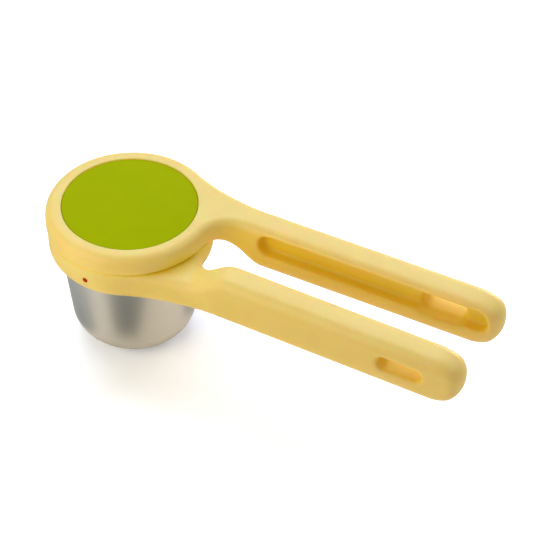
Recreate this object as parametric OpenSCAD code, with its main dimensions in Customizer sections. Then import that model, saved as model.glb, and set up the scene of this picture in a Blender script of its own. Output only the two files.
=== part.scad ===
// Twist-action citrus juicer. Two nylon handles turn about a vertical axis, and a
// three-start helix between them drives a press foot straight down into a perforated
// steel bowl. Drawn closed, with the foot at the bottom of its stroke.
// Millimetres, +Z up. The origin is the centre of the bowl's underside on the press
// axis, +X runs along the closed handles, and the upper handle's arm is on the +Y side.

/* [Bowl] */
// Radius of the bowl's flat base
bowl_base_r = 16; // [12:0.5:20]
// Outer radius of the rounding between base and wall
bowl_corner_r = 16; // [12:0.5:20]
// Outer radius of the wall just under the rim flange
bowl_rim_r = 36; // [34:0.5:40]
// Height of the rim flange's underside above the base
bowl_h = 55.2; // [50:0.2:62]
// Thickness of the steel sheet
steel_t = 1; // [0.6:0.1:1.4]
// Width of the rim flange outside the wall
flange_w = 2.6; // [1.6:0.1:3.6]
// Radius of one drain hole
drain_r = 1.2; // [0.8:0.1:1.5]
// Distance from one ring of drain holes to the next
drain_pitch = 5.5; // [4.5:0.1:6.2]
// Rings of drain holes in the base
drain_rings = 3; // [1:1:3]

/* [Ring of the lower handle] */
// Height of the ring
ring_h = 16.5; // [14:0.1:20]
// Wall outside the collar
ring_wall = 2.6; // [2.4:0.1:4.5]
// Height of the lip that carries the bowl's flange
ring_lip_h = 3; // [2:0.1:5]
// Rounding of the ring's lower outer edge
ring_round = 5.2; // [2:0.2:5.2]
// Radius of the alignment dot
dot_r = 1.4; // [0.8:0.1:2]
// Depth of the alignment dot in the ring's wall
dot_depth = 1.3; // [0.8:0.1:1.8]
// Angle of the alignment dot round the press axis
dot_angle = -92; // [-150:1:-70]

/* [Head of the upper handle] */
// Height of the head above the seam
head_h = 10.8; // [9.4:0.1:14]
// How far the head overhangs the ring
head_over = 0.6; // [0:0.1:1]
// Width of the rim round the cover disc
rim_w = 8.3; // [7:0.1:10]
// Rounding of the head's upper edge
head_round = 5; // [2:0.2:6]
// Wall of the head's skirt
skirt_wall = 3.2; // [2.4:0.1:4.5]
// Thickness of the cover disc
disc_t = 2.2; // [1.6:0.1:2.8]
// Rise of the cover disc's middle above its edge
disc_crown = 1.7; // [0.5:0.1:3]
// Thickness of the web under the cover disc
web_t = 4.4; // [3.8:0.1:5.2]
// Gap between the head and the ring when closed
seam_gap = 0.3; // [0.2:0.05:0.6]

/* [Arms] */
// Distance from the press axis to an arm's tip
arm_reach = 195.2; // [170:0.2:220]
// Width of an arm
arm_w = 17; // [15:0.5:20]
// Height of an arm
arm_h = 26.5; // [24:0.5:30]
// Distance between the arms' inner faces at the press axis
arm_gap = 23.6; // [18:0.2:30]
// Angle by which each arm leans away from the middle plane
arm_splay = 0.6; // [0:0.1:2]
// Rounding of an arm's long edges
arm_round = 6; // [3:0.2:7]
// Plan radius where an arm's outer face runs into the hub
outer_blend_r = 100; // [70:5:140]
// Plan radius where an arm's inner face runs into the hub
inner_blend_r = 15; // [12:0.5:18]
// Length of the step between the head's underside and its arm's
head_step = 24; // [20:0.5:32]
// Length of the step between the ring's top and its arm's
ring_step = 17.5; // [14:0.5:24]
// Distance from the ring to the start of that step
ring_step_start = 7.5; // [3:0.5:10]
// Length of the rounding at an arm's tip, seen from the side
tip_l = 15.5; // [10:0.5:22]
// Height of the tip between its upper and lower rounding
tip_flat = 1; // [1:0.5:8]
// Height of the tip's foremost point above the arm's middle
tip_rise = 2; // [0:0.5:4]
// Length of the channel in an arm's inner face
channel_l = 124.5; // [90:0.5:128]
// Height of that channel
channel_h = 12.4; // [10:0.2:14]
// Depth of that channel
channel_d = 6.6; // [5:0.2:10]
// Height of the channel's middle above the arm's middle
channel_rise = 3.2; // [0:0.2:4]
// Distance from the channel's far end to the arm's tip
channel_end = 5.5; // [5:0.1:16]
// Length of the hanging slot
slot_l = 27; // [18:0.5:34]
// Height of the hanging slot
slot_h = 7.2; // [5:0.2:9]
// Distance from the hanging slot's far end to the arm's tip
slot_end = 15.7; // [14:0.1:28]

/* [Helix] */
// Turn of the upper handle from closed to open
turn = 120; // [90:5:120]
// Rise of the press foot over that turn
travel = 24; // [18:0.5:28]
// Number of lugs and grooves
starts = 3; // [3:1:4]
// Height of a lug
lug_h = 6.6; // [5:0.2:8]
// Angle that a lug spans
lug_span = 18; // [12:1:24]
// Depth of a groove in the sleeve
groove_d = 2.8; // [2:0.1:3.4]
// Wall of the sleeve inside a groove
sleeve_wall = 2; // [1.6:0.1:3]
// Width of a key between collar and ring
key_w = 6; // [4:0.5:10]
// Radial depth of a key
key_d = 1; // [0.6:0.1:1.4]

/* [Press foot] */
// Space for the peel between foot ribs and bowl
peel_gap = 6; // [5:0.2:8]
// Height of the foot's ribs
rib_h = 2; // [1:0.2:2.6]
// Thickness of a rib
rib_t = 2; // [1.4:0.1:3]
// Number of ribs
rib_count = 12; // [8:1:16]
// Thickness of the foot's top plate
plate_t = 3; // [2:0.2:4]
// Wall of the foot's nose
nose_wall = 2.6; // [2:0.1:3.4]

/* [Pivot and screws] */
// Radius of the pivot screw's shoulder
shoulder_r = 4; // [3:0.1:5]
// Radius of the pivot screw's thread
thread_r = 2.5; // [2:0.1:2.9]
// Length of the pivot screw's thread
thread_l = 11; // [8:0.5:13]
// Radius of the pivot screw's head
pivot_head_r = 6.6; // [6:0.1:8]
// Thickness of the pivot screw's head
pivot_head_t = 3; // [2:0.1:4]
// Thickness of the washers
washer_t = 1; // [0.6:0.1:1.6]
// Length of the pivot bore in the sleeve
pivot_bore_l = 6; // [5:0.2:8]
// Number of screws that hold the sleeve
screw_count = 4; // [3:1:6]
// Radius of a screw's head
screw_head_r = 3.2; // [2.6:0.1:3.6]
// Thickness of a screw's head
screw_head_t = 1.9; // [1.4:0.1:2.2]
// Radius of a screw's shank
screw_r = 1.75; // [1.4:0.05:2]
// Length of a screw's shank
screw_l = 13; // [10:0.5:16]

/* [Hidden] */
$fn = 96;

// Clearances: seated pieces, turning pieces, helix flanks, and gaps left open round pieces
fit = 0.1;
running = 0.05;
helix_gap = 0.4;
sleeve_gap = 0.9;
bowl_gap = 0.4;
foot_gap = 0.5;
disc_gap = 0.25;
// Overshoot of cutting shapes past a face
over = 1;

// Radii, from the bowl outwards
flange_r = bowl_rim_r + flange_w;
collar_r = flange_r + bowl_gap;
bore_r = collar_r + fit;
ring_r = bore_r + ring_wall;
head_r = ring_r + head_over;
disc_r = head_r - rim_w;
skirt_r = head_r - skirt_wall;

// Heights, from the base upwards
ring_z0 = bowl_h - ring_lip_h;
ring_z1 = ring_z0 + ring_h;
head_z0 = ring_z1 + seam_gap;
head_z1 = head_z0 + head_h;
web_z1 = head_z1 - disc_t - fit;
web_z0 = web_z1 - web_t;
arm_z1 = head_z1;
arm_z0 = arm_z1 - arm_h;
arm_mid = (arm_z0 + arm_z1) / 2;
collar_z0 = bowl_h + steel_t + fit;
collar_drop = 0.5;
collar_z1 = ring_z1 - collar_drop;
dot_rise = 0.4;
dot_z = (ring_z0 + ring_z1) / 2 + dot_rise;
// Small roundings at the seam between ring and head
ring_edge = 1;
head_edge = 0.8;

// Helix: one lead per turn, lugs at mid-height of the collar
lead = travel * 360 / turn;
lug_z = (collar_z0 + collar_z1) / 2;
groove_h = lug_h + 2 * helix_gap;
lug_rise = lead * lug_span / 360;
groove_floor_z = lug_z - travel - (groove_h + lug_rise) / 2;
sleeve_lip = 1.2;
sleeve_z0 = groove_floor_z - sleeve_lip;
seat_d = 0.6;
sleeve_z1 = web_z0 + seat_d - fit;
flank_step = 5;

// Bowl wall: its outward normal is tangent to the corner rounding
rim_dx = bowl_rim_r - bowl_base_r;
rim_dz = bowl_h - bowl_corner_r;
wall_normal = atan2(rim_dz, rim_dx) - acos(bowl_corner_r / norm([rim_dx, rim_dz]));
function wall_r(z, offset_in) =
    bowl_base_r + (bowl_corner_r - offset_in - (z - bowl_corner_r) * sin(wall_normal))
    / cos(wall_normal);

// Sleeve and collar radii follow from the bowl at the sleeve's lower end
sleeve_r = wall_r(sleeve_z0, steel_t) - sleeve_gap;
groove_r = sleeve_r - groove_d;
sleeve_ri = groove_r - sleeve_wall;
collar_ri = sleeve_r + helix_gap;
lug_ri = groove_r + helix_gap;
key_angles = [for (k = [0 : starts - 1]) (k + 0.5) * 360 / starts];

// Foot and pivot levels
foot_z1 = sleeve_z0 - foot_gap;
nose_r = bowl_corner_r - steel_t - peel_gap - rib_h;
plate_r = wall_r(foot_z1 - plate_t, steel_t) - 2 * sleeve_gap;
hub_r = 12;
hub_rise = 1.2;
hub_z1 = foot_z1 + hub_rise;
thrust_z1 = hub_z1 + washer_t + 2 * running;
pivot_z1 = thrust_z1 + pivot_bore_l;
floor_t = 3;
pivot_boss_wall = 4;
pivot_boss_r = shoulder_r + pivot_boss_wall;
pivot_head_z = pivot_z1 + washer_t + 2 * running;

// Screws: on a circle just inside the sleeve's wall
boss_wall = 2.4;
boss_r = screw_r + boss_wall;
boss_sunk = 1;
screw_pcd_r = sleeve_ri - boss_r + boss_sunk;
screw_head_z = web_z1 - screw_head_t - fit;
boss_below = 3;
boss_l = screw_l + boss_below;
// Step from the sleeve's top down to a boss, so that the sleeve alone seats in the head
boss_drop = 0.3;
// Pegs of the cover disc: clear of its edge
peg_r = 2;
peg_l = 1.8;
peg_count = 3;
peg_edge = 2.4;
peg_pcd_r = disc_r - peg_r - peg_edge;

// Loft resolution of the handles
hub_steps = 64;
blend_steps = 8;
step_steps = 8;
run_steps = 3;
tip_run_steps = 4;
tip_steps = 6;
rest_steps = 4;
round_steps = 5;
// Most of a wall's height that one rounded edge may take
round_share = 0.45;

// Colours as the object shows them
yellow = [0.94, 0.83, 0.5];
green = [0.64, 0.71, 0.02];
steel = [0.74, 0.72, 0.68];
white = [0.93, 0.93, 0.9];
red = [0.78, 0.2, 0.06];

// Plan outline of a handle: a hub with one arm along +X on the +Y side
arm_y0 = arm_gap / 2;
arm_y1 = arm_y0 + arm_w;
tip_r = arm_w / 2;
tip_x = arm_reach - tip_r;
// Heights of the tip's rounding above and below its foremost point
tip_high = (arm_h - tip_flat) / 2 - tip_rise;
tip_low = (arm_h - tip_flat) / 2 + tip_rise;
step_margin = 2;
step_end = head_r + max(head_step, ring_step + ring_step_start) + step_margin;
// Centre of the inner blend, outside the hub and below the arm
function inner_x(hub) = sqrt(pow(hub + inner_blend_r, 2) - pow(arm_y0 - inner_blend_r, 2));
// Centre of the outer blend, outside the hub and above the arm
function outer_x(hub) = sqrt(pow(hub + outer_blend_r, 2) - pow(arm_y1 + outer_blend_r, 2));
function inner_angle(hub) = atan2(arm_y0 - inner_blend_r, inner_x(hub));
function outer_angle(hub) = atan2(arm_y1 + outer_blend_r, outer_x(hub));
// Half-open run of n values from a to b, without a
function run(a, b, n) = [for (k = [1 : n]) a + (b - a) * k / n];
// One outline point with its outward normal, from a centre, a signed radius and an angle
function on_arc(c, r, a) =
    [c.x + r * cos(a), c.y + r * sin(a), sign(r) * cos(a), sign(r) * sin(a)];
// Outline point on a concave blend: the outward normal points at the blend's centre
function on_blend(c, r, a) = [c.x + r * cos(a), c.y + r * sin(a), -cos(a), -sin(a)];
// Outer face at a station x
function outer_point(hub, x) =
    x >= outer_x(hub) ? [x, arm_y1, 0, 1]
    : on_blend([outer_x(hub), arm_y1 + outer_blend_r], outer_blend_r,
               -acos((x - outer_x(hub)) / outer_blend_r));
// Stations along the arm as angles on the inner blend, then as x
function blend_angles(hub) = run(180 + inner_angle(hub), 90, blend_steps);
function straight_x(hub) = concat(
    run(inner_x(hub), step_end, step_steps),
    run(step_end, arm_reach - tip_l, run_steps),
    tip_l > tip_r ? run(arm_reach - tip_l, tip_x, tip_run_steps) : []);
function inner_side(hub) = concat(
    [for (a = blend_angles(hub))
        on_blend([inner_x(hub), arm_y0 - inner_blend_r], inner_blend_r, a)],
    [for (x = straight_x(hub)) [x, arm_y0, 0, -1]],
    [for (k = [1 : tip_steps - 1]) on_arc([tip_x, arm_y0 + tip_r], tip_r, 90 * k / tip_steps - 90)]);
function outer_side(hub) = concat(
    [outer_point(hub, hub * cos(inner_angle(hub)))],
    [for (a = blend_angles(hub)) outer_point(hub, inner_x(hub) + inner_blend_r * cos(a))],
    [for (x = straight_x(hub)) outer_point(hub, x)],
    [for (k = [1 : tip_steps - 1]) on_arc([tip_x, arm_y0 + tip_r], tip_r, 90 - 90 * k / tip_steps)]);
function hub_side(hub) =
    [for (k = [0 : hub_steps])
        on_arc([0, 0], hub,
            outer_angle(hub) + (360 + inner_angle(hub) - outer_angle(hub)) * k / hub_steps)];
// Outer face from the inner blend's start back to the outer blend's
function outer_rest(hub) =
    let (x0 = hub * cos(inner_angle(hub)), x1 = hub * cos(outer_angle(hub)))
    [for (k = [1 : rest_steps - 1]) outer_point(hub, x0 + (x1 - x0) * k / rest_steps)];
function reversed(list) = [for (k = [len(list) - 1 : -1 : 0]) list[k]];

// Smooth step from a to b between two stations
function ease(t) = t <= 0 ? 0 : t >= 1 ? 1 : t * t * (3 - 2 * t);
function level(x, v) = v[0] + (v[1] - v[0]) * ease((x - v[2]) / v[3]);
// How far the tip's rounding, an ellipse of height h seen from the side, takes a face in at x
function tip_in(x, h) =
    let (t = min(1, max(0, x - arm_reach + tip_l) / tip_l)) h * (1 - sqrt(1 - t * t));

// Handle body: the outline swept up through a rounded lower edge, the wall and a rounded
// upper edge. Each of the four levels is [at the hub, on the arm, start, length].
module handle_body(hub, bottom, top, bottom_round, top_round) {
    ins = inner_side(hub);
    outs = outer_side(hub);
    path = concat(hub_side(hub), ins, [on_arc([tip_x, arm_y0 + tip_r], tip_r, 0)],
                  reversed(outs), outer_rest(hub));
    n = len(path);
    m = len(ins);
    first_out = hub_steps + 2 * m + 2;
    rings = 2 * round_steps + 2;
    points = [for (k = [0 : rings - 1], p = path)
        let (
            low = k <= round_steps,
            a = 90 * (low ? k : k - round_steps - 1) / round_steps,
            c = level(p.x, low ? bottom_round : top_round),
            height = level(p.x, top) - level(p.x, bottom)
                     - tip_in(p.x, tip_low) - tip_in(p.x, tip_high),
            rise = min(c, round_share * height),
            inset = c * (1 - (low ? sin(a) : cos(a))),
            x = p.x - inset * p[2],
            z = low ? level(p.x, bottom) + tip_in(x, tip_low) + rise * (1 - cos(a))
                    : level(p.x, top) - tip_in(x, tip_high) - rise * (1 - sin(a)))
        [x, p.y - inset * p[3], z]];
    hub_face = [for (k = [first_out : first_out + n - first_out + hub_steps]) k % n];
    strips = [for (j = [0 : m - 1], t = [0, 1])
        t == 0 ? [hub_steps + j, hub_steps + j + 1, first_out - j - 1]
               : [hub_steps + j, first_out - j - 1, first_out - j]];
    tip = [hub_steps + m, hub_steps + m + 1, hub_steps + m + 2];
    cap = concat([hub_face], strips, [tip]);
    lid = (rings - 1) * n;
    walls = [for (k = [0 : rings - 2], i = [0 : n - 1], t = [0, 1])
        let (j = (i + 1) % n)
        t == 0 ? [k * n + i, (k + 1) * n + i, (k + 1) * n + j]
               : [k * n + i, (k + 1) * n + j, k * n + j]];
    polyhedron(points, concat(cap, walls, [for (f = cap) [for (v = reversed(f)) v + lid]]),
               convexity = 8);
}

// Round-ended bar shape for channels and slots
module stadium(l, h) {
    square([l - h, h], center = true);
    for (s = [-1, 1])
        translate([s * (l - h) / 2, 0])
            circle(d = h);
}

// Cut through the arm from its outer face: a channel behind the inner face and a hanging slot
module arm_cuts() {
    z = arm_mid + channel_rise;
    translate([arm_reach - channel_end - channel_l / 2, arm_y0 + channel_d, z])
        rotate([90, 0, 0])
            linear_extrude(channel_d + over)
                stadium(channel_l, channel_h);
    // The slot's lower side runs flush with the channel's
    translate([arm_reach - slot_end - slot_l / 2, arm_y1 + over, z - (channel_h - slot_h) / 2])
        rotate([90, 0, 0])
            linear_extrude(arm_w + 2 * over)
                stadium(slot_l, slot_h);
}

// Half-section of the bowl's outside, grown inwards by offset_in
module bowl_half(offset_in, top) {
    a = wall_normal;
    r = bowl_corner_r - offset_in;
    foot = [bowl_base_r + r * cos(a), bowl_corner_r + r * sin(a)];
    intersection() {
        union() {
            translate([bowl_base_r, bowl_corner_r])
                circle(r);
            polygon([[0, offset_in], [bowl_base_r, offset_in], foot,
                     [wall_r(top, offset_in), top], [0, top]]);
        }
        translate([0, -over])
            square([2 * bowl_rim_r, top + 2 * over]);
    }
}

// Pressed steel bowl with a rim flange and rings of drain holes
module juice_bowl() {
    color(steel)
        difference() {
            rotate_extrude()
                difference() {
                    union() {
                        bowl_half(0, bowl_h);
                        translate([0, bowl_h])
                            square([flange_r, steel_t]);
                    }
                    bowl_half(steel_t, bowl_h + steel_t + over);
                }
            for (ring = [1 : drain_rings], k = [0 : 6 * ring - 1])
                rotate(k * 360 / (6 * ring))
                    translate([ring * drain_pitch, 0, -over])
                        cylinder(r = drain_r, h = bowl_corner_r);
        }
}

// Lower handle: ring with a lip for the bowl, a keyed bore for the collar, and its arm
module lower_handle() {
    hub = ring_r;
    color(yellow)
        difference() {
            mirror([0, 1, 0])
                rotate(arm_splay)
                    difference() {
                        handle_body(hub,
                            [ring_z0, arm_z0, hub, ring_step],
                            [ring_z1, arm_z1, hub + ring_step_start, ring_step],
                            [ring_round, arm_round, hub, ring_step],
                            [ring_edge, arm_round, hub + ring_step_start, ring_step]);
                        arm_cuts();
                    }
            translate([0, 0, ring_z0 - over])
                cylinder(r = bowl_rim_r + bowl_gap, h = ring_h + 2 * over);
            translate([0, 0, bowl_h])
                cylinder(r = bore_r, h = ring_h);
            for (a = key_angles)
                rotate(a)
                    translate([0, -key_w / 2 - fit, collar_z0])
                        cube([bore_r + key_d + fit, key_w + 2 * fit, ring_h]);
            dot_place()
                cylinder(r = dot_r + fit / 2, h = dot_depth + fit + over);
        }
}

// Places its child on the ring's wall, with +Z pointing out of the wall
module dot_place() {
    rotate(dot_angle)
        translate([ring_r - dot_depth - fit, 0, dot_z])
            rotate([0, 90, 0])
                children();
}

// Red alignment dot, set into the ring's wall
module alignment_dot() {
    color(red)
        dot_place()
            translate([0, 0, fit])
                cylinder(r = dot_r, h = dot_depth);
}

// Helical bar between two radii: its middle climbs through z at angle 0
module helix_bar(r0, r1, h, a0, a1, z) {
    n = ceil((a1 - a0) / flank_step);
    ring = [for (k = [0 : n], c = [[r0, -h / 2], [r1, -h / 2], [r1, h / 2], [r0, h / 2]])
        let (a = a0 + (a1 - a0) * k / n)
        [c[0] * cos(a), c[0] * sin(a), z + c[1] + lead * a / 360]];
    sides = [for (k = [0 : n - 1], i = [0 : 3], t = [0, 1])
        let (j = (i + 1) % 4, b = 4 * k)
        t == 0 ? [b + i, b + j, b + 4 + j] : [b + i, b + 4 + j, b + 4 + i]];
    polyhedron(ring, concat([[3, 2, 1, 0], [4 * n, 4 * n + 1, 4 * n + 2, 4 * n + 3]], sides),
               convexity = 4);
}

// Collar pressed into the ring: holds the bowl's flange and carries the lugs
module helix_collar() {
    chamfer = 1.2;
    color(white)
        union() {
            rotate_extrude()
                polygon([[collar_ri, collar_z0], [collar_r, collar_z0],
                         [collar_r, collar_z1], [collar_ri + chamfer, collar_z1],
                         [collar_ri, collar_z1 - chamfer]]);
            for (k = [0 : starts - 1])
                rotate(k * 360 / starts)
                    helix_bar(lug_ri, (collar_ri + collar_r) / 2, lug_h,
                              -lug_span / 2, lug_span / 2, lug_z);
            for (a = key_angles)
                rotate(a)
                    translate([collar_r - key_d, -key_w / 2, collar_z0 + fit])
                        cube([2 * key_d, key_w, collar_z1 - collar_z0 - 2 * fit]);
        }
}

// Upper handle: head with a recess for the cover disc, a web and a skirt, and its arm
module upper_handle() {
    hub = head_r;
    color(yellow)
        difference() {
            rotate(arm_splay)
                difference() {
                    handle_body(hub,
                        [head_z0, arm_z0, hub, head_step],
                        [head_z1, arm_z1, hub, head_step],
                        [head_edge, arm_round, hub, head_step],
                        [head_round, arm_round, hub, head_step]);
                    arm_cuts();
                }
            translate([0, 0, web_z1])
                cylinder(r = disc_r + disc_gap, h = disc_t + fit + over);
            translate([0, 0, head_z0 - over])
                cylinder(r = skirt_r, h = web_z0 - head_z0 + over);
            translate([0, 0, head_z0])
                cylinder(r = sleeve_r + fit, h = web_z0 + seat_d - head_z0);
            screw_places() {
                translate([0, 0, head_z0])
                    cylinder(r = screw_r + fit, h = head_h);
                translate([0, 0, screw_head_z - fit])
                    cylinder(r = screw_head_r + fit, h = head_h);
            }
            peg_places()
                translate([0, 0, web_z1 - peg_l - fit])
                    cylinder(r = peg_r + fit / 2, h = head_h);
        }
}

// Repeats its children at the sleeve screws
module screw_places() {
    for (k = [0 : screw_count - 1])
        rotate((k + 0.5) * 360 / screw_count)
            translate([screw_pcd_r, 0, 0])
                children();
}

// Repeats its children at the cover disc's pegs
module peg_places() {
    for (k = [0 : peg_count - 1])
        rotate(k * 360 / peg_count)
            translate([peg_pcd_r, 0, 0])
                children();
}

// Cover disc with a crowned top and pegs that press into the web
module top_disc() {
    edge = 0.4;
    steps = 12;
    color(green)
        union() {
            rotate_extrude()
                polygon(concat(
                    [[0, web_z1 + fit], [disc_r, web_z1 + fit]],
                    [for (k = [0 : steps])
                        let (u = 1 - k / steps)
                        [disc_r * u, head_z1 - edge + disc_crown * (1 - u * u)]]));
            peg_places()
                translate([0, 0, web_z1 - peg_l])
                    cylinder(r = peg_r, h = peg_l + disc_t / 2);
        }
}

// Grooved sleeve that hangs from the head: tube, floor with a pivot boss, screw bosses
module helix_sleeve() {
    floor_z0 = thrust_z1;
    chamfer = 0.8;
    color(yellow)
        difference() {
            union() {
                rotate_extrude()
                    polygon([[sleeve_ri, sleeve_z0], [sleeve_r - chamfer, sleeve_z0],
                             [sleeve_r, sleeve_z0 + chamfer], [sleeve_r, sleeve_z1],
                             [sleeve_ri, sleeve_z1]]);
                translate([0, 0, floor_z0])
                    cylinder(r = sleeve_ri + sleeve_wall / 2, h = floor_t);
                translate([0, 0, floor_z0])
                    cylinder(r = pivot_boss_r, h = pivot_bore_l);
                screw_places()
                    translate([0, 0, sleeve_z1 - boss_drop - boss_l])
                        cylinder(r = boss_r, h = boss_l);
            }
            translate([0, 0, floor_z0 - over])
                cylinder(r = shoulder_r + running, h = pivot_bore_l + 2 * over);
            screw_places()
                translate([0, 0, screw_head_z - screw_l - fit])
                    cylinder(r = screw_r + fit / 2, h = 2 * screw_l);
            for (k = [0 : starts - 1])
                rotate(k * 360 / starts)
                    groove();
        }
}

// One groove: the lug's path through the turn, then a wider way straight down and out
module groove() {
    play = helix_gap * 180 / (PI * groove_r);
    half = lug_span / 2 + 2 * play;
    exit_half = lug_span / 2 + 3 * play;
    exit_r = groove_r + helix_gap / 2;
    helix_bar(groove_r, sleeve_r + over, groove_h, -turn - half, half, lug_z);
    rotate(-turn)
        translate([0, 0, sleeve_z0 - over])
            intersection() {
                difference() {
                    cylinder(r = sleeve_r + over, h = lug_z - travel - sleeve_z0 + over);
                    translate([0, 0, -over])
                        cylinder(r = exit_r, h = lug_z - sleeve_z0);
                }
                linear_extrude(lug_z)
                    polygon([[0, 0], 2 * sleeve_r * [cos(exit_half), -sin(exit_half)],
                             2 * sleeve_r * [cos(exit_half), sin(exit_half)]]);
            }
}

// Screws that hold the sleeve to the head, hidden under the cover disc
module sleeve_screws() {
    drive_r = 1.6;
    drive_d = 1.1;
    color(steel)
        screw_places()
            difference() {
                union() {
                    translate([0, 0, screw_head_z])
                        cylinder(r = screw_head_r, h = screw_head_t);
                    translate([0, 0, screw_head_z - screw_l])
                        cylinder(r = screw_r, h = screw_l + screw_head_t / 2);
                }
                translate([0, 0, screw_head_z + screw_head_t - drive_d])
                    cylinder(r = drive_r, h = 2 * drive_d, $fn = 6);
            }
}

// Half-section of the press foot's nose, grown by a skin
module nose_half(skin) {
    r = nose_r + skin;
    side = foot_z1 - plate_t / 2;
    intersection() {
        union() {
            translate([bowl_base_r, bowl_corner_r])
                circle(r);
            polygon([[0, bowl_corner_r - r], [bowl_base_r, bowl_corner_r - r],
                     [bowl_base_r + r, bowl_corner_r],
                     [bowl_base_r + r, side], [0, side]]);
        }
        square([2 * bowl_rim_r, side]);
    }
}

// Press foot: a hollow nose with ribs under a plate, and a hub for the pivot screw
module press_foot() {
    color(green)
        difference() {
            union() {
                rotate_extrude()
                    difference() {
                        union() {
                            nose_half(0);
                            translate([0, foot_z1 - plate_t])
                                square([plate_r, plate_t]);
                        }
                        difference() {
                            nose_half(-nose_wall);
                            square([hub_r, 2 * foot_z1]);
                            translate([0, foot_z1 - plate_t])
                                square([plate_r, plate_t]);
                        }
                    }
                translate([0, 0, foot_z1 - plate_t])
                    cylinder(r = hub_r, h = hub_z1 - foot_z1 + plate_t);
                for (k = [0 : rib_count - 1])
                    rotate(k * 360 / rib_count)
                        foot_rib();
            }
            translate([0, 0, hub_z1 - thread_l - fit])
                cylinder(r = thread_r + running, h = thread_l + over);
        }
}

// One rib, from the nose's middle out to its side
module foot_rib() {
    inner_r = 5;
    rotate([90, 0, 0])
        linear_extrude(rib_t, center = true)
            intersection() {
                difference() {
                    nose_half(rib_h);
                    nose_half(-nose_wall / 2);
                }
                translate([inner_r, 0])
                    square([bowl_rim_r, foot_z1 - plate_t / 2]);
            }
}

// Shoulder screw on which the foot turns: driven from above, through the sleeve's floor
module pivot_screw() {
    drive_r = 3;
    drive_d = 2;
    color(steel)
        difference() {
            union() {
                translate([0, 0, hub_z1 - thread_l])
                    cylinder(r = thread_r, h = thread_l + washer_t);
                translate([0, 0, hub_z1])
                    cylinder(r = shoulder_r, h = pivot_head_z - hub_z1);
                translate([0, 0, pivot_head_z])
                    cylinder(r = pivot_head_r, h = pivot_head_t);
            }
            translate([0, 0, pivot_head_z + pivot_head_t - drive_d])
                cylinder(r = drive_r, h = 2 * drive_d, $fn = 6);
        }
}

// Flat washer round the pivot screw's shoulder
module washer(r, z) {
    color(white)
        translate([0, 0, z])
            difference() {
                cylinder(r = r, h = washer_t);
                translate([0, 0, -over])
                    cylinder(r = shoulder_r + running, h = washer_t + 2 * over);
            }
}

// Washer under the pivot screw's head
module pivot_washer() {
    washer(pivot_boss_r, pivot_z1 + running);
}

// Washer that carries the pressing force from the sleeve's floor to the foot
module thrust_washer() {
    washer(hub_r, hub_z1 + running);
}

lower_handle();
juice_bowl();
helix_collar();
alignment_dot();
upper_handle();
top_disc();
helix_sleeve();
sleeve_screws();
press_foot();
pivot_screw();
pivot_washer();
thrust_washer();
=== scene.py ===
"""Looks of a twist-action citrus juicer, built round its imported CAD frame. Metres, +Z up."""

import math
from collections import namedtuple

import bmesh
import bpy
import numpy as np
from mathutils import Matrix, Vector


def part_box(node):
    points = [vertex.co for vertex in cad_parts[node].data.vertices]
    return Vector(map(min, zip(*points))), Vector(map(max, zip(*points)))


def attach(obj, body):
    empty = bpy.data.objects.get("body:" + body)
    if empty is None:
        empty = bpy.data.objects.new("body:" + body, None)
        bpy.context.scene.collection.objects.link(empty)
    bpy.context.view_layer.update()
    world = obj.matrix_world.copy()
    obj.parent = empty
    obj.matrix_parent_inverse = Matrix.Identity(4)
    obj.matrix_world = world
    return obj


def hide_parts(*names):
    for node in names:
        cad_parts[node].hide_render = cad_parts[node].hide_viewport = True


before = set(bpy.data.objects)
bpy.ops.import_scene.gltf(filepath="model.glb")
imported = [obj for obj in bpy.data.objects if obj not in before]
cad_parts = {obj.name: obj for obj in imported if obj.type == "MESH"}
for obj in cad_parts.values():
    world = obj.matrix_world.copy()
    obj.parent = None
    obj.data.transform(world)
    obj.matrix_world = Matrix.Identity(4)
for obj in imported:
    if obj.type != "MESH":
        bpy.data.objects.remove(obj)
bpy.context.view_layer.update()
scene = bpy.context.scene

# Sizes read off the CAD frame
upper_low, upper_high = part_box("upper_handle")
lower_low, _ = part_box("lower_handle")
_, disc_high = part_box("top_disc")
_, bowl_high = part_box("juice_bowl")
_, sleeve_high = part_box("helix_sleeve")
dot_low, dot_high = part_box("alignment_dot")
HEAD_R = -upper_low.x
HEAD_TOP = upper_high.z
ARM_LOW = upper_low.z
ARM_TOP = upper_high.z
RING_R = -lower_low.x
RING_LOW = lower_low.z
DISC_R = disc_high.x
DISC_TOP = disc_high.z
FLANGE_R = bowl_high.x
BOWL_RIM_Z = bowl_high.z
SLEEVE_R = sleeve_high.x
SLEEVE_TOP = sleeve_high.z
DOT_MIDDLE = (dot_low + dot_high) / 2

# Hub, arm and tip of the handles
RING_H = 0.0165
RING_TOP = RING_LOW + RING_H
SEAM_GAP = 0.0003
HEAD_LOW = RING_TOP + SEAM_GAP
ARM_REACH = 0.1952
ARM_W = 0.017
ARM_IN = 0.0118
ARM_OUT = ARM_IN + ARM_W
ARM_H = ARM_TOP - ARM_LOW
ARM_MID_Y = (ARM_IN + ARM_OUT) / 2
ARM_MID_Z = (ARM_LOW + ARM_TOP) / 2
ARM_SPLAY = math.radians(0.6)
OUTER_BLEND = 0.1
INNER_BLEND = 0.015
TIP_L = 0.0155
TIP_FLAT = 0.001
TIP_RISE = 0.002
TIP_R = ARM_W / 2
# Where the arm changes from the hub's form to the tip's, on its straight part
TIP_FORM_X = 0.12

# Steps from hub to arm, and rounded edges. Several are softer than those of the solids
HEAD_STEP = 0.024
RING_STEP = 0.023
RING_STEP_START = 0.0048
RING_EDGE_START = 0.012
RING_EDGE_L = 0.045
ARM_ROUND = 0.007
HEAD_ROUND = 0.0058
RING_ROUND = 0.0072
HEAD_SEAM_ROUND = 0.0018
RING_SEAM_ROUND = 0.003
# Edges are superellipses, softer than arcs: they start and end with no jump in curvature
EDGE_POWER = 2.4
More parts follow.
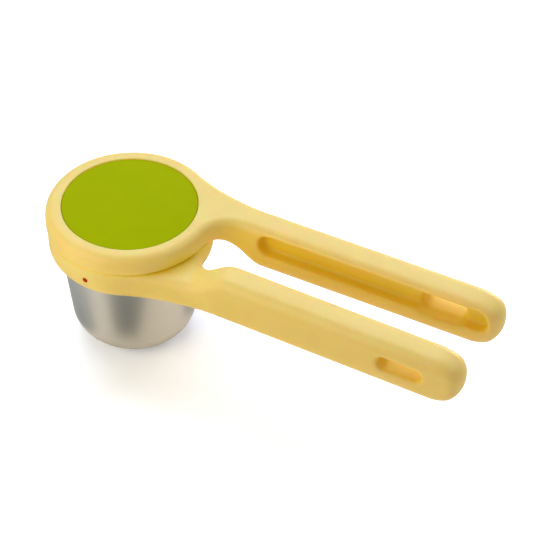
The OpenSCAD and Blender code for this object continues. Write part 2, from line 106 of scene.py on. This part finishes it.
# Length that the round edge takes off the tip, where plan and side outline meet head-on
TIP_SPARE = (1 - 0.5 ** (1 / EDGE_POWER)) * ARM_ROUND
TIP_X = ARM_REACH + TIP_SPARE - TIP_R

# Finger channel in the arm's inner face, and hanging slot through its back wall
CHANNEL_L = 0.1245
CHANNEL_H = 0.0124
CHANNEL_D = 0.0066
CHANNEL_RISE = 0.0032
CHANNEL_END = 0.0055
LIP_ROUND = 0.0016
FLOOR_ROUND = 0.002
SLOT_L = 0.0236
SLOT_H = 0.0082
SLOT_END = 0.0187
SLOT_DROP = 0.001
SLOT_ROUND = 0.0022

# Grid that the handles are meshed on, and moves of its vertices onto the surface
CELL = 0.0007
MARGIN = 4 * CELL
PROJECT_STEPS = 4
# Steps over which slopes are taken, of a level along the arm and of a field
LEVEL_STEP = 0.0001
FIELD_STEP = 0.00002
# Least squared slope that a move is divided by
LEAST_SLOPE = 0.05
# Lengths, angles and slopes below this count as none
TINY = 1e-6
# Points of a cut mesh that lie closer than this become one
MERGE = 0.000005
# Segments round a turned piece, steps along its arcs, and the angle past which an edge stays sharp
ROUND_SEGMENTS = 256
ARC_STEPS = 24
SMOOTH_ANGLE = math.radians(50)
# Arcs that bulge out of the solid, and arcs that bite into it
CONVEX = 1
CONCAVE = -1

Level = namedtuple("Level", "hub arm start length")
Handle = namedtuple("Handle", "hub bottom top bottom_round top_round")

UPPER = Handle(
    HEAD_R,
    Level(HEAD_LOW, ARM_LOW, HEAD_R, HEAD_STEP),
    Level(HEAD_TOP, ARM_TOP, HEAD_R, HEAD_STEP),
    Level(HEAD_SEAM_ROUND, ARM_ROUND, HEAD_R, HEAD_STEP),
    Level(HEAD_ROUND, ARM_ROUND, HEAD_R, HEAD_STEP),
)
LOWER = Handle(
    RING_R,
    Level(RING_LOW, ARM_LOW, RING_R, RING_STEP),
    Level(RING_TOP, ARM_TOP, RING_R + RING_STEP_START, RING_STEP),
    Level(RING_ROUND, ARM_ROUND, RING_R, RING_STEP),
    Level(RING_SEAM_ROUND, ARM_ROUND, RING_EDGE_START, RING_EDGE_L),
)


# Distance fields

def height_at(x, level):
    """Value of a level at a station x: eased from the hub's to the arm's."""
    t = np.clip((x - level.start) / level.length, 0, 1)
    return level.hub + (level.arm - level.hub) * t * t * (3 - 2 * t)


def slope_scale(x, level):
    """One over the length of the normal of a level's surface at x."""
    rise = height_at(x + LEVEL_STEP, level) - height_at(x - LEVEL_STEP, level)
    slope = rise / (2 * LEVEL_STEP)
    return 1 / np.sqrt(1 + slope * slope)


def round_both(a, b, r, power=2):
    """Inside both of two fields, with an edge of radius r where they meet."""
    outside = (np.maximum(r + a, 0) ** power + np.maximum(r + b, 0) ** power) ** (1 / power)
    return np.minimum(-r, np.maximum(a, b)) + outside


def arc_field(x, y, centre, radius, start, span, side):
    """Signed distance to an arc with the solid on one side, and infinite beyond its ends."""
    dx = x - centre[0]
    dy = y - centre[1]
    angle = np.mod(np.arctan2(dy, dx) - start + TINY, 2 * math.pi)
    return np.where(angle <= span + 2 * TINY, side * (np.hypot(dx, dy) - radius), np.inf)


def edge_field(x, distance, x0, x1):
    """Signed distance to a straight edge along X, and infinite beyond its ends."""
    return np.where((x >= x0 - TINY) & (x <= x1 + TINY), distance, np.inf)


def plan_field(x, y, hub):
    """Signed distance from a handle's outline, seen from above."""
    inner_y = ARM_IN - INNER_BLEND
    outer_y = ARM_OUT + OUTER_BLEND
    inner_x = math.sqrt((hub + INNER_BLEND) ** 2 - inner_y ** 2)
    outer_x = math.sqrt((hub + OUTER_BLEND) ** 2 - outer_y ** 2)
    inner_angle = math.atan2(inner_y, inner_x)
    outer_angle = math.atan2(outer_y, outer_x)
    quarter = math.pi / 2
    hub_span = 2 * math.pi + inner_angle - outer_angle
    inner_span = quarter + inner_angle
    outer_span = quarter - outer_angle
    outer_start = math.pi + outer_angle
    edges = [
        arc_field(x, y, (0, 0), hub, outer_angle, hub_span, CONVEX),
        arc_field(x, y, (inner_x, inner_y), INNER_BLEND, quarter, inner_span, CONCAVE),
        edge_field(x, ARM_IN - y, inner_x, TIP_X),
        arc_field(x, y, (TIP_X, ARM_MID_Y), TIP_R, -quarter, 2 * quarter, CONVEX),
        edge_field(x, y - ARM_OUT, outer_x, TIP_X),
        arc_field(x, y, (outer_x, outer_y), OUTER_BLEND, outer_start, outer_span, CONCAVE),
    ]
    nearest = edges[0]
    for edge in edges[1:]:
        nearest = np.where(np.abs(edge) < np.abs(nearest), edge, nearest)
    return nearest


def hub_form(x, y, z, handle):
    """Field of the hub and the start of the arm: the plan between a bottom and a top."""
    plan = plan_field(x, y, handle.hub)
    under = (height_at(x, handle.bottom) - z) * slope_scale(x, handle.bottom)
    above = (z - height_at(x, handle.top)) * slope_scale(x, handle.top)
    lower = round_both(plan, under, height_at(x, handle.bottom_round), EDGE_POWER)
    upper = round_both(plan, above, height_at(x, handle.top_round), EDGE_POWER)
    return np.maximum(lower, upper)


def side_field(x, z):
    """Signed distance from the arm's outline seen from the side, which ends in a half ellipse."""
    nose = ARM_MID_Z + TIP_RISE
    along = np.maximum(x - ARM_REACH + TIP_L, 0)
    upright = np.maximum(np.abs(z - nose) - TIP_FLAT / 2, 0)
    length = TIP_L + TIP_SPARE
    height = (ARM_H - TIP_FLAT) / 2 - np.where(z > nose, TIP_RISE, -TIP_RISE)
    share = np.hypot(along / length, upright / height)
    slope = np.hypot(along / length ** 2, upright / height ** 2)
    return np.where(slope > TINY, share * (share - 1) / np.maximum(slope, TINY), -height)


def tip_form(x, y, z, handle):
    """Field of the arm's outer part: the plan and the side outline, met with a round edge."""
    return round_both(plan_field(x, y, handle.hub), side_field(x, z), ARM_ROUND, EDGE_POWER)


def stadium_field(x, z, centre_x, centre_z, length, height):
    """Signed distance from a round-ended bar seen from the side."""
    beyond = np.maximum(np.abs(x - centre_x) - (length - height) / 2, 0)
    return np.hypot(beyond, z - centre_z) - height / 2


def handle_field(points, handle):
    """Field of a handle's moulding before its bores: body, finger channel and hanging slot."""
    x, y, z = points
    body = np.where(x < TIP_FORM_X, hub_form(x, y, z, handle), tip_form(x, y, z, handle))
    channel_z = ARM_MID_Z + CHANNEL_RISE
    channel_x = ARM_REACH - CHANNEL_END - CHANNEL_L / 2
    slot_x = ARM_REACH - SLOT_END - SLOT_L / 2
    slot_z = channel_z - (CHANNEL_H - SLOT_H) / 2 - SLOT_DROP
    mouth = stadium_field(x, z, channel_x, channel_z, CHANNEL_L, CHANNEL_H)
    channel = round_both(mouth, y - ARM_IN - CHANNEL_D, FLOOR_ROUND)
    slot = stadium_field(x, z, slot_x, slot_z, SLOT_L, SLOT_H)
    return round_both(round_both(body, -channel, LIP_ROUND), -slot, SLOT_ROUND)


# Meshes

def surface_net(field, low):
    """Vertices and quads of a sampled field's zero level: one vertex in each crossed cell."""
    inside = field < 0
    corners = [(i, j, k) for i in (0, 1) for j in (0, 1) for k in (0, 1)]
    cells_shape = [n - 1 for n in field.shape]
    count = np.zeros(cells_shape, np.int8)
    for corner in corners:
        count += inside[tuple(slice(s, s + n) for s, n in zip(corner, cells_shape))]
    crossed = (count > 0) & (count < len(corners))
    cells = np.argwhere(crossed)
    number = np.full(cells_shape, -1, np.int64)
    number[crossed] = np.arange(len(cells))
    total = np.zeros((len(cells), 3))
    hits = np.zeros((len(cells), 1))
    for corner in corners:
        for axis in range(3):
            if corner[axis]:
                continue
            a = cells + corner
            b = a.copy()
            b[:, axis] += 1
            fa = field[tuple(a.T)]
            fb = field[tuple(b.T)]
            hit = (fa < 0) != (fb < 0)
            place = np.tile(np.array(corner, float), (hit.sum(), 1))
            place[:, axis] += fa[hit] / (fa[hit] - fb[hit])
            total[hit] += place
            hits[hit] += 1
    verts = low + (cells + total / hits) * CELL
    quads = []
    for axis in range(3):
        before = np.take(inside, range(field.shape[axis] - 1), axis)
        after = np.take(inside, range(1, field.shape[axis]), axis)
        edges = np.argwhere(before != after)
        u = np.eye(3, dtype=np.int64)[(axis + 1) % 3]
        v = np.eye(3, dtype=np.int64)[(axis + 2) % 3]
        ring = [number[tuple((edges - s).T)] for s in (u + v, v, 0, u)]
        quad = np.stack(ring, 1)
        outward = before[tuple(edges.T)]
        quads.append(np.where(outward[:, None], quad, quad[:, ::-1]))
    return verts, np.concatenate(quads)


def on_surface(verts, field):
    """Vertices moved onto a field's zero level, by half a cell at most in each step."""
    for _ in range(PROJECT_STEPS):
        slope = np.empty_like(verts)
        for axis in range(3):
            shift = np.zeros(3)
            shift[axis] = FIELD_STEP
            rise = field((verts + shift).T) - field((verts - shift).T)
            slope[:, axis] = rise / (2 * FIELD_STEP)
        steepness = np.maximum((slope ** 2).sum(1), LEAST_SLOPE)
        move = -field(verts.T)[:, None] * slope / steepness[:, None]
        length = np.linalg.norm(move, axis=1)[:, None]
        verts = verts + move * np.minimum(1, CELL / 2 / np.maximum(length, TINY))
    return verts


def new_object(name, data):
    """New object in the scene, for a mesh, a camera or a light."""
    obj = bpy.data.objects.new(name, data)
    scene.collection.objects.link(obj)
    return obj


def mesh_object(name, verts, faces):
    """New object in the scene, from vertices and faces."""
    mesh = bpy.data.meshes.new(name)
    mesh.from_pydata([tuple(v) for v in verts], [], [tuple(f) for f in faces])
    mesh.update()
    return new_object(name, mesh)


def mesh_from(name, bm):
    """New mesh from an editable one, which is freed."""
    mesh = bpy.data.meshes.new(name)
    bm.to_mesh(mesh)
    bm.free()
    return mesh


def smooth(obj):
    """Smooth shading that keeps the sharper edges."""
    obj.data.shade_smooth()
    obj.data.set_sharp_from_angle(angle=SMOOTH_ANGLE)


def revolved(name, profile, segments, place=Matrix.Identity(4)):
    """Solid of revolution about Z from a profile of (radius, height) whose ends are on the axis."""
    bm = bmesh.new()
    turns = [2 * math.pi * k / segments for k in range(segments)]
    rings = []
    for r, z in profile:
        if r < TINY:
            rings.append([bm.verts.new((0, 0, z))])
        else:
            rings.append([bm.verts.new((r * math.cos(a), r * math.sin(a), z)) for a in turns])
    for one, two in zip(rings, rings[1:]):
        for k in range(segments):
            n = (k + 1) % segments
            corners = [one[k % len(one)], one[n % len(one)], two[n % len(two)], two[k % len(two)]]
            bm.faces.new(list(dict.fromkeys(corners)))
    bmesh.ops.recalc_face_normals(bm, faces=bm.faces)
    mesh = mesh_from(name, bm)
    mesh.transform(place)
    return new_object(name, mesh)


def joined(name, parts):
    """One object from several that don't touch."""
    bm = bmesh.new()
    for part in parts:
        bm.from_mesh(part.data)
        bpy.data.objects.remove(part)
    return new_object(name, mesh_from(name, bm))


def arc_points(centre, radius, start, end, steps):
    """Profile points on an arc, angles in degrees."""
    turns = [math.radians(start + (end - start) * k / steps) for k in range(steps + 1)]
    return [(centre[0] + radius * math.cos(a), centre[1] + radius * math.sin(a)) for a in turns]


def clean(mesh):
    """Merges points that a cut left too close together, and drops the faces that this flattens."""
    bm = bmesh.new()
    bm.from_mesh(mesh)
    bmesh.ops.remove_doubles(bm, verts=bm.verts, dist=MERGE)
    bmesh.ops.triangulate(bm, faces=[f for f in bm.faces if len(f.verts) > 4])
    bmesh.ops.dissolve_degenerate(bm, dist=MERGE, edges=bm.edges)
    bm.to_mesh(mesh)
    bm.free()


def cut_away(obj, cutters):
    """Subtracts the cutters from an object, and removes them."""
    for cutter in cutters:
        step = obj.modifiers.new("cut", "BOOLEAN")
        step.operation = "DIFFERENCE"
        step.solver = "EXACT"
        step.object = cutter
    bpy.context.view_layer.update()
    evaluated = obj.evaluated_get(bpy.context.evaluated_depsgraph_get())
    result = bpy.data.meshes.new_from_object(evaluated)
    obj.modifiers.clear()
    clean(result)
    obj.data = result
    for cutter in cutters:
        bpy.data.objects.remove(cutter)


def handle_piece(name, handle, mirrored, cutters):
    """A handle's moulding, meshed from its field, turned into place and hollowed by its cutters."""
    low = np.array([-handle.hub - MARGIN, -handle.hub - MARGIN, RING_LOW - MARGIN])
    high = np.array([ARM_REACH + MARGIN, handle.hub + MARGIN, HEAD_TOP + MARGIN])
    x, y, z = [np.arange(low[i], high[i] + CELL, CELL) for i in range(3)]

    def field(points):
        return handle_field(points, handle)

    sampled = field((x[:, None, None], y[None, :, None], z[None, None, :]))
    verts, quads = surface_net(sampled, low)
    obj = mesh_object(name, on_surface(verts, field), quads)
    obj.data.transform(Matrix.Rotation(ARM_SPLAY, 4, "Z"))
    if mirrored:
        obj.data.transform(Matrix.Scale(-1, 4, (0, 1, 0)))
        obj.data.flip_normals()
    cut_away(obj, [cutter() for cutter in cutters])
    return obj


# Hollows of the head and the ring, and how far a cutter reaches past a face
OVER = 0.002
SEAT = 0.0001
DISC_T = 0.0022
DISC_GAP = 0.00025
RECESS_EDGE = 0.0005
RECESS_FLARE = 0.0002
WEB_T = 0.0044
WEB_TOP = HEAD_TOP - DISC_T - SEAT
SKIRT_WALL = 0.0032
STEEL_T = 0.001
RING_LIP = 0.0022
BORE_GAP = 0.0005


def recess_cutter():
    """Recess in the head's top for the cover disc, with an eased edge."""
    r = DISC_R + DISC_GAP
    mouth_r = r + RECESS_EDGE + RECESS_FLARE
    return revolved("recess_cutter", [
        (0, WEB_TOP), (r, WEB_TOP), (r, HEAD_TOP - RECESS_EDGE),
        (r + RECESS_FLARE, HEAD_TOP - RECESS_FLARE), (mouth_r, HEAD_TOP + RECESS_FLARE),
        (mouth_r, HEAD_TOP + OVER), (0, HEAD_TOP + OVER)], ROUND_SEGMENTS)


def skirt_cutter():
    """Hollow under the head, with a seat for the sleeve in its roof."""
    r = HEAD_R - SKIRT_WALL
    top = WEB_TOP - WEB_T
    seat_r = SLEEVE_R + SEAT
    return revolved("skirt_cutter", [
        (0, HEAD_LOW - OVER), (r, HEAD_LOW - OVER), (r, top), (seat_r, top),
        (seat_r, SLEEVE_TOP + SEAT), (0, SLEEVE_TOP + SEAT)], ROUND_SEGMENTS)


def bore_cutter():
    """Bore of the ring, with a lip at the bottom that carries the bowl's flange."""
    lip_r = FLANGE_R - RING_LIP
    seat_z = BOWL_RIM_Z - STEEL_T
    bore_r = FLANGE_R + BORE_GAP
    return revolved("bore_cutter", [
        (0, RING_LOW - OVER), (lip_r, RING_LOW - OVER), (lip_r, seat_z), (bore_r, seat_z),
        (bore_r, RING_TOP + OVER), (0, RING_TOP + OVER)], ROUND_SEGMENTS)


# Steel bowl with a rim flange and rings of drain holes
BOWL_BASE_R = 0.016
BOWL_CORNER_R = 0.016
BOWL_RIM_R = 0.036
FLANGE_ROUND = 0.0004
FLANGE_STEPS = 4
DRAIN_R = 0.0012
DRAIN_PITCH = 0.0055
DRAIN_RINGS = 3
DRAIN_SEGMENTS = 24
# Holes of the innermost ring, and how many more each further ring has
DRAIN_HOLES = 6


def drain_cutters():
    """Drills for the drain holes, as one object."""
    drill = [(0, -OVER), (DRAIN_R, -OVER), (DRAIN_R, 2 * OVER), (0, 2 * OVER)]
    drills = []
    for ring in range(1, DRAIN_RINGS + 1):
        holes = DRAIN_HOLES * ring
        for k in range(holes):
            turn = Matrix.Rotation(2 * math.pi * k / holes, 4, "Z")
            place = turn @ Matrix.Translation((ring * DRAIN_PITCH, 0, 0))
            drills.append(revolved("drain_cutter", drill, DRAIN_SEGMENTS, place))
    return joined("drain_cutters", drills)


def bowl_piece():
    """The bowl as a thin turned shell, then drilled."""
    rim_z = BOWL_RIM_Z - STEEL_T
    dx = BOWL_RIM_R - BOWL_BASE_R
    dz = rim_z - BOWL_CORNER_R
    lean = math.atan2(dz, dx) - math.acos(BOWL_CORNER_R / math.hypot(dx, dz))
    mouth_rise = (BOWL_RIM_Z - BOWL_CORNER_R) * math.sin(lean)
    mouth_r = BOWL_BASE_R + (BOWL_CORNER_R - STEEL_T - mouth_rise) / math.cos(lean)
    corner = (BOWL_BASE_R, BOWL_CORNER_R)
    outer = arc_points(corner, BOWL_CORNER_R, -90, math.degrees(lean), ARC_STEPS)
    inner = arc_points(corner, BOWL_CORNER_R - STEEL_T, math.degrees(lean), -90, ARC_STEPS)
    edge = FLANGE_R - FLANGE_ROUND
    lip = arc_points((edge, rim_z + FLANGE_ROUND), FLANGE_ROUND, -90, 0, FLANGE_STEPS)
    lip += arc_points((edge, BOWL_RIM_Z - FLANGE_ROUND), FLANGE_ROUND, 0, 90, FLANGE_STEPS)
    profile = [(0, 0), *outer, (BOWL_RIM_R, rim_z), *lip, (mouth_r, BOWL_RIM_Z), *inner, (0, STEEL_T)]
    obj = revolved("steel_bowl", profile, ROUND_SEGMENTS)
    cut_away(obj, [drain_cutters()])
    return obj


# Cover disc: crowned, with a rounded edge
DISC_EDGE = 0.0004
DISC_EDGE_STEPS = 5
DISC_DROP = 0.0004


def disc_piece():
    """The cover disc, turned about the press axis."""
    base = WEB_TOP + SEAT
    shoulder = HEAD_TOP - DISC_DROP
    rise = DISC_TOP - shoulder
    edge_r = DISC_R - DISC_EDGE
    crown = [edge_r * (1 - k / ARC_STEPS) for k in range(1, ARC_STEPS + 1)]
    profile = [(0, base), (DISC_R, base)]
    profile += arc_points((edge_r, shoulder - DISC_EDGE), DISC_EDGE, 0, 90, DISC_EDGE_STEPS)
    profile += [(r, shoulder + rise * (1 - (r / DISC_R) ** 2)) for r in crown]
    return revolved("cover_disc", profile, ROUND_SEGMENTS)


# Alignment dot: a small plug with a domed face, flush in the ring's wall
DOT_R = 0.0014
DOT_DEPTH = 0.0013
DOT_DOME = 0.00015
DOT_STEPS = 8
DOT_SEGMENTS = 48


def dot_piece():
    """The dot, turned upright and then laid into the ring's wall."""
    shares = [1 - k / DOT_STEPS for k in range(DOT_STEPS + 1)]
    dome = [(DOT_R * s, DOT_DOME * (1 - s ** 2)) for s in shares]
    turn = Matrix.Rotation(math.atan2(DOT_MIDDLE.y, DOT_MIDDLE.x), 4, "Z")
    lay = Matrix.Translation((RING_R, 0, DOT_MIDDLE.z)) @ Matrix.Rotation(math.pi / 2, 4, "Y")
    profile = [(0, -DOT_DEPTH), (DOT_R, -DOT_DEPTH), *dome]
    return revolved("red_dot", profile, DOT_SEGMENTS, turn @ lay)


# Grain of the plastics: slow clouds of colour and a fine satin bump
CLOUD_SCALE = 60
CLOUD_DETAIL = 3
CLOUD_SPAN = (0.35, 0.65)
GRAIN_SCALE = 3000
GRAIN_DETAIL = 2
GRAIN_STRENGTH = 0.12
GRAIN_DEPTH = 0.0001
# Marks on the steels, which are a little darker than the rest
MARK_SCALE = 40
MARK_DETAIL = 6
MARK_SPAN = (0.3, 0.7)
MARK_SHADE = 0.96
MARK_STRENGTH = 0.02
MARK_DEPTH = 0.00002
# Rays that tell how shut in a point of a hollow is
HOLLOW_RAYS = 8
# Numbers of a Mix node's colour sockets, whose names aren't unique
MIX_FIRST = 6
MIX_SECOND = 7
MIX_RESULT = 2


def shader_of(material):
    """The Principled shader of a material."""
    return material.node_tree.nodes["Principled BSDF"]


def new_material(name):
    """A material with its node tree and its Principled shader."""
    material = bpy.data.materials.new(name)
    material.use_nodes = True
    return material, material.node_tree, shader_of(material)


def noise(tree, scale, detail, stretch=(1, 1, 1)):
    """Noise in the object's own metres, stretched along its axes."""
    place = tree.nodes.new("ShaderNodeTexCoord")
    mapping = tree.nodes.new("ShaderNodeMapping")
    mapping.inputs["Scale"].default_value = stretch
    texture = tree.nodes.new("ShaderNodeTexNoise")
    texture.inputs["Scale"].default_value = scale
    texture.inputs["Detail"].default_value = detail
    tree.links.new(place.outputs["Object"], mapping.inputs["Vector"])
    tree.links.new(mapping.outputs["Vector"], texture.inputs["Vector"])
    return texture.outputs["Fac"]


def base_colour(tree, shader, factor, span, colours):
    """Base colour that goes from one colour to another as a factor crosses a span."""
    ramp = tree.nodes.new("ShaderNodeValToRGB")
    for element, position, colour in zip(ramp.color_ramp.elements, span, colours):
        element.position = position
        element.color = (*colour, 1)
    tree.links.new(factor, ramp.inputs["Fac"])
    tree.links.new(ramp.outputs["Color"], shader.inputs["Base Color"])


def bump(tree, shader, height, strength, depth):
    """Bump from a height on a shader."""
    node = tree.nodes.new("ShaderNodeBump")
    node.inputs["Strength"].default_value = strength
    node.inputs["Distance"].default_value = depth
    tree.links.new(height, node.inputs["Height"])
    tree.links.new(node.outputs["Normal"], shader.inputs["Normal"])


def plastic(name, dark, light, roughness, gloss):
    """Moulded plastic: slow colour variation and a fine satin grain."""
    material, tree, shader = new_material(name)
    base_colour(tree, shader, noise(tree, CLOUD_SCALE, CLOUD_DETAIL), CLOUD_SPAN, (dark, light))
    shader.inputs["Roughness"].default_value = roughness
    shader.inputs["Specular IOR Level"].default_value = gloss
    bump(tree, shader, noise(tree, GRAIN_SCALE, GRAIN_DETAIL), GRAIN_STRENGTH, GRAIN_DEPTH)
    return material


def tinted_gloss(material, colour):
    """Colours a plastic's reflections."""
    shader_of(material).inputs["Specular Tint"].default_value = (*colour, 1)


def milky(material, weight, radius, scale):
    """Lets light spread under a plastic's surface, which makes it look translucent."""
    shader = shader_of(material)
    shader.inputs["Subsurface Weight"].default_value = weight
    shader.inputs["Subsurface Radius"].default_value = radius
    shader.inputs["Subsurface Scale"].default_value = scale


def painted_hollow_shade(material, tint, reach, shut, open_air):
    """Painted shade: deepens a plastic's base colour in hollows, standing in for light that has gone
    through more of it there.
    """
    tree = material.node_tree
    shader = shader_of(material)
    plain = shader.inputs["Base Color"].links[0].from_socket
    openness = tree.nodes.new("ShaderNodeAmbientOcclusion")
    openness.samples = HOLLOW_RAYS
    openness.inputs["Distance"].default_value = reach
    share = tree.nodes.new("ShaderNodeMapRange")
    share.inputs["From Min"].default_value = shut
    share.inputs["From Max"].default_value = open_air
    tree.links.new(openness.outputs["AO"], share.inputs["Value"])
    blend = tree.nodes.new("ShaderNodeMix")
    blend.data_type = "RGBA"
    tree.links.new(share.outputs["Result"], blend.inputs["Factor"])
    blend.inputs[MIX_FIRST].default_value = (*tint, 1)
    tree.links.new(plain, blend.inputs[MIX_SECOND])
    tree.links.new(blend.outputs[MIX_RESULT], shader.inputs["Base Color"])


def steel(name, colour, roughness, grain, streak):
    """Steel with fine marks round the axis. Grain draws its reflections out up and down."""
    material, tree, shader = new_material(name)
    shader.inputs["Metallic"].default_value = 1
    shader.inputs["Roughness"].default_value = roughness
    shader.inputs["Anisotropic"].default_value = grain
    around = tree.nodes.new("ShaderNodeTangent")
    around.direction_type = "RADIAL"
    around.axis = "Z"
    tree.links.new(around.outputs["Tangent"], shader.inputs["Tangent"])
    marks = noise(tree, MARK_SCALE, MARK_DETAIL, streak)
    shaded = tuple(MARK_SHADE * c for c in colour)
    base_colour(tree, shader, marks, MARK_SPAN, (shaded, colour))
    bump(tree, shader, marks, MARK_STRENGTH, MARK_DEPTH)
    return material


# Materials, named as the record's slots
YELLOW = plastic("yellow_nylon", (0.75, 0.625, 0.21), (0.77, 0.645, 0.23), roughness=0.45, gloss=0.7)
milky(YELLOW, weight=1, radius=(1, 0.35, 0.08), scale=0.0045)
# Painted shade: shut-in hollows take a deeper orange base colour
painted_hollow_shade(YELLOW, tint=(0.95, 0.7, 0.0), reach=0.05, shut=0.2, open_air=0.85)
GREEN = plastic("green_nylon", (0.31, 0.4, 0.0), (0.325, 0.415, 0.0), roughness=0.5, gloss=0.03)
tinted_gloss(GREEN, (0.85, 1, 0))
RED = plastic("red_plastic", (0.34, 0.015, 0.0), (0.38, 0.02, 0.0), roughness=0.5, gloss=0.05)
WHITE = plastic("natural_acetal", (0.82, 0.82, 0.78), (0.86, 0.86, 0.82), roughness=0.35, gloss=0.5)
SATIN = steel("satin_steel", (0.69, 0.77, 0.88), roughness=0.4, grain=0.5, streak=(0.5, 0.5, 60))
PLAIN = steel("screw_steel", (0.6, 0.6, 0.6), roughness=0.3, grain=0, streak=(1, 1, 20))

# Pieces that stand for CAD nodes
upper = handle_piece("upper_moulding", UPPER, mirrored=False, cutters=[recess_cutter, skirt_cutter])
lower = handle_piece("lower_moulding", LOWER, mirrored=True, cutters=[bore_cutter])
bowl = bowl_piece()
disc = disc_piece()
dot = dot_piece()
Look = namedtuple("Look", "piece node body slot material")
looks = [
    Look(upper, "upper_handle", "upper", "yellow_nylon", YELLOW),
    Look(lower, "lower_handle", "lower", "yellow_nylon", YELLOW),
    Look(disc, "top_disc", "upper", "green_nylon", GREEN),
    Look(bowl, "juice_bowl", "lower", "satin_steel", SATIN),
    Look(dot, "alignment_dot", "lower", "red_plastic", RED),
]
for look in looks:
    smooth(look.piece)
    look.piece.data.materials.clear()
    look.piece.data.materials.append(look.material)
    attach(look.piece, look.body)
    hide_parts(look.node)

# CAD pieces that stay as they are, with finished surfaces
kept = {
    "helix_collar": WHITE, "helix_sleeve": YELLOW, "sleeve_screws": PLAIN, "press_foot": GREEN,
    "pivot_screw": PLAIN, "pivot_washer": WHITE, "thrust_washer": WHITE,
}
for name, material in kept.items():
    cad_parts[name].data.materials.clear()
    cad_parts[name].data.materials.append(material)

# Camera at the photograph's viewing angle
CAMERA_AZIMUTH = math.radians(28.4)
CAMERA_ELEVATION = math.radians(43.0)
CAMERA_TARGET = Vector((0.0795, 0.0072, 0.0588))
CAMERA_DISTANCE = 1.198
CAMERA_LENS = 157.6
back = Vector((math.sin(CAMERA_AZIMUTH) * math.cos(CAMERA_ELEVATION),
               -math.cos(CAMERA_AZIMUTH) * math.cos(CAMERA_ELEVATION),
               math.sin(CAMERA_ELEVATION)))
camera_data = bpy.data.cameras.new("camera")
camera_data.lens = CAMERA_LENS
camera = new_object("camera", camera_data)
camera.location = CAMERA_TARGET + CAMERA_DISTANCE * back
camera.rotation_euler = (-back).to_track_quat("-Z", "Y").to_euler()
scene.camera = camera

# Stage: a white floor that the camera sees, a warmer one that lights the object from below, and
# dark cards that show only in reflections, as painted shade in the bowl's reflection of the floor
STAGE_SIZE = 8
SHEET_ROUGHNESS = 0.9
# Over 1, so that soft shade on the floor stays pale
FLOOR_WHITE = (1.26, 1.36, 1.7)
BOUNCE_COLOUR = (0.95, 0.82, 0.71)
BOUNCE_GLOW = 0.05
BOUNCE_DROP = 0.0005
CARD_LIFT = 0.0003
CARD_FAR = 0.3
# A card goes out from its start, in metres off the bowl, and near and far are its sides' turns in
# degrees at its two ends
Card = namedtuple("Card", "name shade start near far")
# Painted shade: each card darkens a band of the bowl's reflection of the floor
CARDS = [
    Card("front_card", shade=0.22, start=0.01, near=(-17, 5), far=(-24, 16)),
    Card("left_card", shade=0.38, start=0.007, near=(-82, -40), far=(-82, -40)),
    Card("right_card", shade=0.22, start=0.013, near=(56, 76), far=(56, 76)),
]


def level_sheet(name, corners, z, colour, glow=0):
    """Level sheet of the stage with a dull surface, which can glow in its own colour."""
    sheet = mesh_object(name, [(x, y, z) for x, y in corners], [(0, 1, 2, 3)])
    material, _, shader = new_material(name)
    shader.inputs["Base Color"].default_value = (*colour, 1)
    shader.inputs["Roughness"].default_value = SHEET_ROUGHNESS
    shader.inputs["Specular IOR Level"].default_value = 0
    shader.inputs["Emission Color"].default_value = (*colour, 1)
    shader.inputs["Emission Strength"].default_value = glow
    sheet.data.materials.append(material)
    return sheet


def mirrored_spot(turn, away):
    """Floor point mirrored in the bowl's wall, at a turn in degrees from the camera's side."""
    wall = Matrix.Rotation(CAMERA_AZIMUTH + math.radians(turn), 2) @ Vector((0, -BOWL_RIM_R))
    beyond = Matrix.Rotation(CAMERA_AZIMUTH + math.radians(2 * turn), 2) @ Vector((0, -away))
    return tuple(wall + beyond)


def reflected_shade_card(card):
    """Dark sheet on the floor beside the bowl, seen only in reflections: painted shade in the bowl's
    mirror image of the floor.
    """
    corners = [mirrored_spot(card.near[0], card.start), mirrored_spot(card.far[0], CARD_FAR),
               mirrored_spot(card.far[1], CARD_FAR), mirrored_spot(card.near[1], card.start)]
    grey = (card.shade, card.shade, card.shade)
    sheet = level_sheet(card.name, corners, CARD_LIFT, grey)
    sheet.visible_camera = False
    sheet.visible_diffuse = False
    sheet.visible_shadow = False


half = STAGE_SIZE / 2
stage_corners = [(-half, -half), (half, -half), (half, half), (-half, half)]
floor = level_sheet("floor", stage_corners, 0, FLOOR_WHITE)
floor.visible_diffuse = False
floor.visible_glossy = False
floor.visible_shadow = False
bounce = level_sheet("bounce", stage_corners, -BOUNCE_DROP, BOUNCE_COLOUR, BOUNCE_GLOW)
bounce.visible_camera = False
for card in CARDS:
    reflected_shade_card(card)

# Soft studio light: sizes in metres, power in watts
Softbox = namedtuple("Softbox", "name place size power colour")
SOFTBOXES = [
    Softbox("top", (-0.44, 0.6, 1.25), size=1.4, power=13, colour=(1, 1, 1)),
    Softbox("fill", (-0.13, -0.35, 0.22), size=0.35, power=0.95, colour=(1, 0.87, 0.55)),
    Softbox("back", (0.2, 1.3, 0.3), size=0.6, power=7.5, colour=(1, 0.95, 0.85)),
    Softbox("right", (0.8, 0.2, 0.8), size=0.5, power=1.7, colour=(1, 0.93, 0.75)),
]
WORLD_COLOUR = (1, 0.93, 0.78)
WORLD_STRENGTH = 0.35


def area_light(box):
    """Square area light that faces the object."""
    data = bpy.data.lights.new(box.name, "AREA")
    data.size = box.size
    data.energy = box.power
    data.color = box.colour
    light = new_object(box.name, data)
    light.location = box.place
    aim = Vector(box.place) - CAMERA_TARGET
    light.rotation_euler = aim.to_track_quat("Z", "Y").to_euler()
    light.visible_camera = False


for box in SOFTBOXES:
    area_light(box)
world = bpy.data.worlds.new("studio")
world.use_nodes = True
background = world.node_tree.nodes["Background"]
background.inputs["Color"].default_value = (*WORLD_COLOUR, 1)
background.inputs["Strength"].default_value = WORLD_STRENGTH
scene.world = world
scene.view_settings.view_transform = "Standard"
